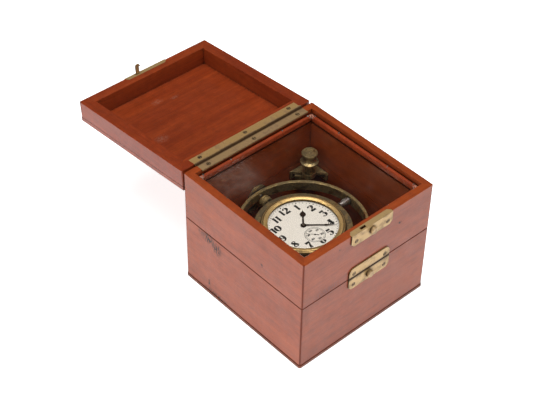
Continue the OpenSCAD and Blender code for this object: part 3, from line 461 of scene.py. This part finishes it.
# Painted shade in the slit between the shut tiers' catch plates, and a darker band on the buttons'
# sides below their worn ends.
CATCH_SLIT_SHADE = [((0, SIDE, tier_top + 0.4), (WHOLE_WIDTH, 6, 2.4))]
WORN_END = 2.9           # from a button's face to the middle of its darker band
BUTTON_DARK_BAND = []
for button in ("lid_catch_button", "tier_catch_button"):
    low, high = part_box(button)
    middle = (low + high) / 2 / MM
    BUTTON_DARK_BAND.append(((middle.x, low.y / MM + WORN_END, middle.z), (6, 2.6, 6)))

dial_low, dial_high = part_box("dial")
DIAL_X = (dial_low.x + dial_high.x) / 2 / MM
DIAL_Y = (dial_low.y + dial_high.y) / 2 / MM
DIAL_Z = dial_high.z / MM
DIAL_R = (dial_high.x - dial_low.x) / 2 / MM

# Brushing along X and along Y: the fine scratches' scale on each axis.
BRUSHED_X = (0.06, 1, 1)
BRUSHED_Y = (1, 0.05, 1)
FINISHES = {
    "base_wood": wood("base_wood", rgb(0.2, 0.05, 0.018), rgb(0.12, 0.028, 0.01), 0, gloss=0.2),
    "bead_wood": wood("bead_wood", rgb(0.3, 0.045, 0.009), rgb(0.18, 0.023, 0.006), 0, BEAD_HIGHLIGHTS),
    "glass": glass("glass", haze=0.008, smears=[((-38, 45, 105), (30, 26, 8))]),
    "pin_metal": metal(
        "pin_metal", rgb(0.75, 0.72, 0.66), rgb(0.35, 0.28, 0.2), tarnish=0.3, rough=0.25,
    ),
    "hinge_brass": metal(
        "hinge_brass", rgb(0.35, 0.22, 0.1), rgb(0.2, 0.12, 0.055), tarnish=0.45, rough=0.42,
        grain=BRUSHED_X, dark_spots=HINGE_SLOT_SHADE, shaded_edges=0.5, bare=0.5,
    ),
    # Painted shade along the screw heads' edges and in their slots.
    "screw_brass": metal(
        "screw_brass", rgb(0.3, 0.2, 0.1), rgb(0.11, 0.07, 0.03), tarnish=0.5, rough=0.4,
        edge=0.9, shaded_edges=1.0, bare=0.6,
    ),
    # Painted shade in the slit between the plates, along the plates' edges and on their ends.
    "catch_brass": metal(
        "catch_brass", rgb(0.45, 0.295, 0.125), rgb(0.26, 0.16, 0.065), tarnish=0.45, rough=0.36,
        grain=BRUSHED_X, edge=0.5, dark_spots=CATCH_SLIT_SHADE, shaded_edges=0.75, bare=0.45, shaded_ends=1.0,
    ),
    "spring_steel": metal(
        "spring_steel", rgb(0.5, 0.52, 0.56), rgb(0.2, 0.2, 0.22), tarnish=0.2, rough=0.28,
    ),
    "gimbal_brass": metal(
        "gimbal_brass", rgb(0.6, 0.44, 0.19), rgb(0.19, 0.135, 0.06), tarnish=0.6, rough=0.34,
    ),
    "pivot_steel": metal(
        "pivot_steel", rgb(0.6, 0.59, 0.56), rgb(0.25, 0.23, 0.2), tarnish=0.3, rough=0.3,
    ),
    "bezel_gold": metal(
        "bezel_gold", rgb(0.62, 0.42, 0.17), rgb(0.36, 0.23, 0.085), tarnish=0.3, rough=0.46,
        bare=0.85,
        rings=[(DIAL_X, DIAL_Y, DIAL_R + 3.2, 0.5), (DIAL_X, DIAL_Y, DIAL_R + 5.6, 2.0)],
    ),
    "dial_enamel": enamel("dial_enamel", rgb(0.91, 0.875, 0.825)),
    "blued_steel": metal(
        "blued_steel", rgb(0.022, 0.026, 0.06), rgb(0.01, 0.01, 0.018), tarnish=0.2, rough=0.2,
    ),
    "nickel_plate": metal(
        "nickel_plate", rgb(0.7, 0.69, 0.65), rgb(0.42, 0.39, 0.33), tarnish=0.25, rough=0.24,
        grain=BRUSHED_Y,
    ),
    "wheel_brass": metal(
        "wheel_brass", rgb(0.8, 0.58, 0.26), rgb(0.5, 0.34, 0.14), tarnish=0.2, rough=0.24,
    ),
}
BUTTON = metal(
    "button_brass", rgb(0.45, 0.3, 0.15), rgb(0.26, 0.17, 0.08), tarnish=0.4, rough=0.36,
    dark_spots=BUTTON_DARK_BAND, shaded_edges=0.3, bare=0.5,
)
HUB_STEEL = metal(
    "hub_steel", rgb(0.85, 0.83, 0.78), rgb(0.5, 0.48, 0.44), tarnish=0.1, rough=0.5,
)
# Nodes whose finish differs from the rest of their slot.
SPECIAL = {
    # A lighter copy of the hinge brass for the lid's leaf: painted light on that leaf.
    "lid_hinge_lid_leaf": metal(
        "hinge_lid_leaf", rgb(0.47, 0.29, 0.11), rgb(0.26, 0.155, 0.065), tarnish=0.4, rough=0.4,
        grain=BRUSHED_X, dark_spots=HINGE_SLOT_SHADE, shaded_edges=0.4, bare=0.5,
    ),
    "lid_catch_button": BUTTON,
    "tier_catch_button": BUTTON,
    "bowl": metal(
        "bowl_brass", rgb(0.4, 0.28, 0.12), rgb(0.1, 0.07, 0.032), tarnish=0.75, rough=0.34,
    ),
    "gimbal_lock": metal(
        "lock_brass", rgb(0.5, 0.37, 0.17), rgb(0.14, 0.1, 0.045), tarnish=0.6, rough=0.27,
    ),
}

for part in frame["record"]["subparts"]:
    node_name, slot_name = part["node"], part["material_slot"]
    finish = board(node_name) if slot_name in ("case_wood", "lid_wood") else FINISHES[slot_name]
    finish = SPECIAL.get(node_name, finish)
    mesh = frame["nodes"][node_name].data
    mesh.materials.clear()
    mesh.materials.append(finish)

# ---------------------------------------------------------------- dial markings

PAINT = 0.04             # how far the numerals and dots stand above the enamel
NUMERAL_H = 6.9
NUMERAL_R = 0.757 * DIAL_R
DOT_R = 0.93 * DIAL_R
HOUR_DOT, MINUTE_DOT = 0.6, 0.38   # radii
SECONDS_Y = -14.0        # the seconds dial's centre, from the dial's own
SECONDS_R = 8.8
SECONDS_SIDES = 96
SECONDS_RISE = 0.02      # the seconds disc stands this far above the painted hours
SECONDS_PAINT = 0.03     # how far its marks stand above the disc
SECONDS_NUMERAL_H = 2.0
SECONDS_NUMERAL_R = 5.6
TRACK_R = SECONDS_R - 0.2
INNER_TRACK_R = SECONDS_R - 1.4
TRACK_WIDTH = 0.2
TRACK_STEP = 5           # degrees
TICK_WIDTH = 0.3
LONG_TICK, SHORT_TICK = 1.1, 0.6
BOLD = 1.55              # the strokes' widths below are made this much heavier

# Strokes of each digit in units of its height: (x, y, width) along a smooth centre line.
DIGITS = {
    "0": [[(0, 0.47, 0.05), (0.24, 0.2, 0.2), (0.24, -0.2, 0.2), (0, -0.47, 0.05),
           (-0.24, -0.2, 0.2), (-0.24, 0.2, 0.2), (0, 0.47, 0.05)]],
    "1": [[(0, -0.5, 0.19), (0, 0.5, 0.19)], [(-0.2, 0.34, 0.03), (-0.05, 0.45, 0.08)]],
    "2": [[(-0.25, 0.24, 0.2), (-0.2, 0.4, 0.12), (0, 0.47, 0.06), (0.22, 0.26, 0.23),
           (0.1, -0.02, 0.14), (-0.32, -0.4, 0.05)], [(-0.36, -0.4, 0.18), (0.36, -0.4, 0.2)]],
    "3": [[(-0.3, 0.41, 0.18), (0.28, 0.41, 0.18)], [(0.28, 0.36, 0.05), (0, 0.08, 0.05)],
          [(-0.06, 0.08, 0.05), (0.15, 0.04, 0.14), (0.26, -0.18, 0.24), (0.12, -0.43, 0.1),
           (-0.12, -0.46, 0.06), (-0.26, -0.3, 0.2)]],
    "4": [[(0.12, -0.5, 0.25), (0.12, 0.5, 0.25)], [(0.04, 0.48, 0.05), (-0.38, -0.2, 0.05)],
          [(-0.4, -0.22, 0.08), (0.4, -0.22, 0.08)]],
    "5": [[(-0.24, 0.41, 0.18), (0.28, 0.41, 0.18)], [(-0.22, 0.42, 0.05), (-0.25, 0.02, 0.05)],
          [(-0.25, 0.04, 0.05), (0, 0.14, 0.07), (0.25, -0.12, 0.24), (0.12, -0.43, 0.1),
           (-0.12, -0.46, 0.06), (-0.26, -0.3, 0.2)]],
    "6": [[(0.22, 0.34, 0.18), (0.06, 0.47, 0.06), (-0.2, 0.24, 0.18), (-0.25, -0.1, 0.22),
           (-0.18, -0.38, 0.16), (0, -0.47, 0.05), (0.24, -0.2, 0.2), (0.02, 0.08, 0.05),
           (-0.18, -0.06, 0.05)]],
    "7": [[(-0.32, 0.4, 0.2), (0.33, 0.4, 0.2)], [(0.31, 0.36, 0.06), (0.04, -0.05, 0.16),
                                                (-0.04, -0.5, 0.26)]],
    "8": [[(0.02, 0.47, 0.06), (-0.22, 0.28, 0.16), (0.02, 0.02, 0.22), (0.25, -0.24, 0.16),
           (0, -0.47, 0.06), (-0.25, -0.24, 0.12), (-0.04, 0.02, 0.06), (0.2, 0.28, 0.1),
           (0.02, 0.47, 0.06)]],
}
DIGITS["9"] = [[(-x, -y, width) for x, y, width in stroke] for stroke in DIGITS["6"]]
DIGIT_WIDTH = {"1": 0.44, "0": 0.7}   # in units of the height, as the gap is
OTHER_WIDTH = 0.78
DIGIT_GAP = 0.06


class Marks:
    """Thin closed prisms gathered into one mesh."""

    def __init__(self):
        self.points = []
        self.faces = []

    def prism(self, outline, low, high):
        first, count = len(self.points), len(outline)
        self.points += [(x, y, low) for x, y in outline]
        self.points += [(x, y, high) for x, y in outline]
        self.faces.append([first + k for k in reversed(range(count))])
        self.faces.append([first + count + k for k in range(count)])
        for k in range(count):
            after = (k + 1) % count
            self.faces.append([first + k, first + after, first + count + after, first + count + k])

    def disc(self, x, y, radius, low, high, sides=16):
        self.prism(circle(x, y, radius, sides), low, high)

    def stroke(self, line, place, scale, low, high):
        """A ribbon of changing width along a smooth line, as one chain of short prisms."""
        line = smooth(line)
        sides = []
        for k, (x, y, width) in enumerate(line):
            before, after = line[max(k - 1, 0)], line[min(k + 1, len(line) - 1)]
            run = Vector((after[0] - before[0], after[1] - before[1])).normalized()
            across = Vector((-run.y, run.x)) * width / 2
            sides.append([
                (place[0] + scale * (x + side * across.x), place[1] + scale * (y + side * across.y))
                for side in (-1, 1)
            ])
        for (a, b), (c, d) in zip(sides, sides[1:]):
            self.prism([a, c, d, b], low, high)

    def number(self, text, place, height, low, high):
        widths = [DIGIT_WIDTH.get(digit, OTHER_WIDTH) + DIGIT_GAP for digit in text]
        left = -sum(widths) / 2
        for digit, width in zip(text, widths):
            middle = (place[0] + height * (left + width / 2), place[1])
            for line in DIGITS[digit]:
                heavy = [(x, y, BOLD * across) for x, y, across in line]
                self.stroke(heavy, middle, height, low, high)
            left += width

    def piece(self, name, material, body):
        mesh = bpy.data.meshes.new(name)
        mesh.from_pydata([[c * MM for c in p] for p in self.points], [], self.faces)
        mesh.materials.append(material)
        made = bpy.data.objects.new(name, mesh)
        bpy.context.scene.collection.objects.link(made)
        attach(made, body)
        return made


def circle(x, y, radius, sides):
    """Points around a circle, counterclockwise from +X."""
    turns = [2 * math.pi * k / sides for k in range(sides)]
    return [(x + radius * math.cos(turn), y + radius * math.sin(turn)) for turn in turns]


def smooth(line, steps=6):
    """A Catmull-Rom curve through the line's points; two points stay a straight line."""
    if len(line) == 2:
        return line
    ends = [line[0]] + list(line) + [line[-1]]
    curve = []
    for a, b, c, d in zip(ends, ends[1:], ends[2:], ends[3:]):
        for k in range(steps):
            t = k / steps
            curve.append(tuple(
                0.5 * (2 * q + (r - p) * t + (2 * p - 5 * q + 4 * r - s) * t ** 2
                       + (3 * q - p - 3 * r + s) * t ** 3)
                for p, q, r, s in zip(a, b, c, d)
            ))
    return curve + [line[-1]]


def on_dial(radius, turn, centre_y=0.0):
    """The place at that radius and clockwise turn from twelve, in degrees."""
    angle = math.radians(turn)
    return DIAL_X + radius * math.sin(angle), DIAL_Y + centre_y + radius * math.cos(angle)


black = ink("dial_paint")
numerals = Marks()
for hour in range(1, 13):
    numerals.number(str(hour), on_dial(NUMERAL_R, 30 * hour), NUMERAL_H, DIAL_Z, DIAL_Z + PAINT)
numerals.piece("dial_numerals", black, "bowl")

dots = Marks()
for minute in range(60):
    dot = HOUR_DOT if minute % 5 == 0 else MINUTE_DOT
    dots.disc(*on_dial(DOT_R, 6 * minute), dot, DIAL_Z, DIAL_Z + PAINT)
dots.piece("dial_minute_dots", black, "bowl")

seconds_top = DIAL_Z + PAINT + SECONDS_RISE
paint_top = seconds_top + SECONDS_PAINT
seconds_disc = Marks()
seconds_disc.disc(*on_dial(0, 0, SECONDS_Y), SECONDS_R, DIAL_Z, seconds_top, SECONDS_SIDES)
seconds_disc.piece("seconds_disc", FINISHES["dial_enamel"], "bowl")

seconds_marks = Marks()
for second in range(60):
    length = LONG_TICK if second % 10 == 0 else SHORT_TICK
    inner_end = on_dial(TRACK_R - length, 6 * second, SECONDS_Y)
    outer_end = on_dial(TRACK_R, 6 * second, SECONDS_Y)
    tick = [(*inner_end, TICK_WIDTH), (*outer_end, TICK_WIDTH)]
    seconds_marks.stroke(tick, (0, 0), 1, seconds_top, paint_top)
for radius in (TRACK_R, INNER_TRACK_R):
    turns = range(0, 360 + TRACK_STEP, TRACK_STEP)
    track = [(*on_dial(radius, turn, SECONDS_Y), TRACK_WIDTH) for turn in turns]
    seconds_marks.stroke(track, (0, 0), 1, seconds_top, paint_top)
for second in range(10, 70, 10):
    place = on_dial(SECONDS_NUMERAL_R, 6 * second, SECONDS_Y)
    seconds_marks.number(str(second), place, SECONDS_NUMERAL_H, seconds_top, paint_top)
seconds_marks.piece("seconds_marks", black, "bowl")

# ---------------------------------------------------------------- hub cap

CAP_PROFILE = [(0, 0.2), (0.5, 0.19), (0.95, 0.14), (1.2, 0.05), (1.25, 0)]   # (radius, height)
CAP_SIDES = 48


def hub_cap():
    """The polished cap over the minute hand's hub, turned from a profile."""
    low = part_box("minute_hand")[1].z / MM
    points = [(DIAL_X, DIAL_Y, low + CAP_PROFILE[0][1])]
    for radius, height in CAP_PROFILE[1:]:
        points += [(x, y, low + height) for x, y in circle(DIAL_X, DIAL_Y, radius, CAP_SIDES)]
    faces = [[0, 1 + k, 1 + (k + 1) % CAP_SIDES] for k in range(CAP_SIDES)]
    for ring in range(len(CAP_PROFILE) - 2):
        a, b = 1 + ring * CAP_SIDES, 1 + (ring + 1) * CAP_SIDES
        for k in range(CAP_SIDES):
            after = (k + 1) % CAP_SIDES
            faces.append([a + k, b + k, b + after, a + after])
    last = 1 + (len(CAP_PROFILE) - 2) * CAP_SIDES
    faces.append([last + k for k in reversed(range(CAP_SIDES))])
    cap = Marks()
    cap.points, cap.faces = points, faces
    cap.piece("minute_hub_cap", HUB_STEEL, "minute_train")


hub_cap()

# ---------------------------------------------------------------- catch springs

for joint in frame["joints"]:
    for spring in joint.get("deforming_nodes", ()):
        node_name = spring["node"]
        low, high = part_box(node_name)
        coil_mesh = frame["nodes"][node_name].data.copy()
        coil = bpy.data.objects.new(node_name + "_coil", coil_mesh)
        bpy.context.scene.collection.objects.link(coil)
        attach(coil, joint["parent"])
        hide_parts(node_name)
        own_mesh(coil)

# ---------------------------------------------------------------- floor and light

FLOOR_HALF = 30          # metres
FLOOR_GLOW = 0.78        # keeps the pale floor clear of strong shadows
LIT_POINT = Vector((0, 0, 0.08))
SOFTBOXES = (            # (name, place, side, brightness)
    ("overhead", (-0.1, -0.1, 1.9), 1.5, 5.9),
    ("left", (-1.9, 0.1, 0.55), 1.1, 4.6),
    ("front", (0.4, -1.9, 0.6), 1.1, 2.2),
)
AMBIENT = rgb(0.05, 0.05, 0.05)


def floor():
    """A wide pale floor under the box."""
    look = Look("floor")
    grain = look.noise(scale=0.004, detail=3)
    pale = look.done(
        Base_Color=look.mix(grain, rgb(0.8, 0.8, 0.8), rgb(0.82, 0.82, 0.82)),
        Roughness=0.9,
        Emission_Color=rgb(1, 1, 1),
        Emission_Strength=FLOOR_GLOW,
    )
    mesh = bpy.data.meshes.new("floor")
    signs = ((-1, -1), (1, -1), (1, 1), (-1, 1))
    corners = [(FLOOR_HALF * sign_x, FLOOR_HALF * sign_y, 0) for sign_x, sign_y in signs]
    mesh.from_pydata(corners, [], [[0, 1, 2, 3]])
    mesh.materials.append(pale)
    made = bpy.data.objects.new("floor", mesh)
    made.location.z = cad_box[0].z
    bpy.context.scene.collection.objects.link(made)


def softbox(name, place, size, radiance):
    """A square soft light that faces the box."""
    data = bpy.data.lights.new(name, "AREA")
    data.shape = "SQUARE"
    data.size = size
    data.energy = radiance * math.pi * size ** 2
    made = bpy.data.objects.new(name, data)
    made.location = place
    aim = LIT_POINT - Vector(place)
    made.rotation_euler = aim.to_track_quat("-Z", "Y").to_euler()
    bpy.context.scene.collection.objects.link(made)


floor()
for settings in SOFTBOXES:
    softbox(*settings)

world = bpy.data.worlds.new("world")
world.use_nodes = True
world.node_tree.nodes["Background"].inputs["Color"].default_value = AMBIENT
bpy.context.scene.world = world
bpy.context.scene.view_settings.view_transform = "Standard"

# ---------------------------------------------------------------- camera

AZIMUTH = math.radians(-42.55)
ELEVATION = math.radians(42.122)
DISTANCE = 1.0946
ROLL = math.radians(0.981)
TARGET = Vector((-0.016576, 0.02681, 0.080108))
LENS = 89.85             # on a sensor of this width, both in millimetres
SENSOR = 36

back = Vector((
    math.sin(AZIMUTH) * math.cos(ELEVATION),
    -math.cos(AZIMUTH) * math.cos(ELEVATION),
    math.sin(ELEVATION),
))
level_right = Vector((0, 0, 1)).cross(back).normalized()
level_up = back.cross(level_right)
right = level_right * math.cos(ROLL) + level_up * math.sin(ROLL)
camera_data = bpy.data.cameras.new("camera")
camera_data.lens = LENS
camera_data.sensor_width = SENSOR
camera = bpy.data.objects.new("camera", camera_data)
camera.matrix_world = (
    Matrix.Translation(TARGET + back * DISTANCE)
    @ Matrix((right, back.cross(right), back)).transposed().to_4x4()
)
bpy.context.scene.collection.objects.link(camera)
bpy.context.scene.camera = camera
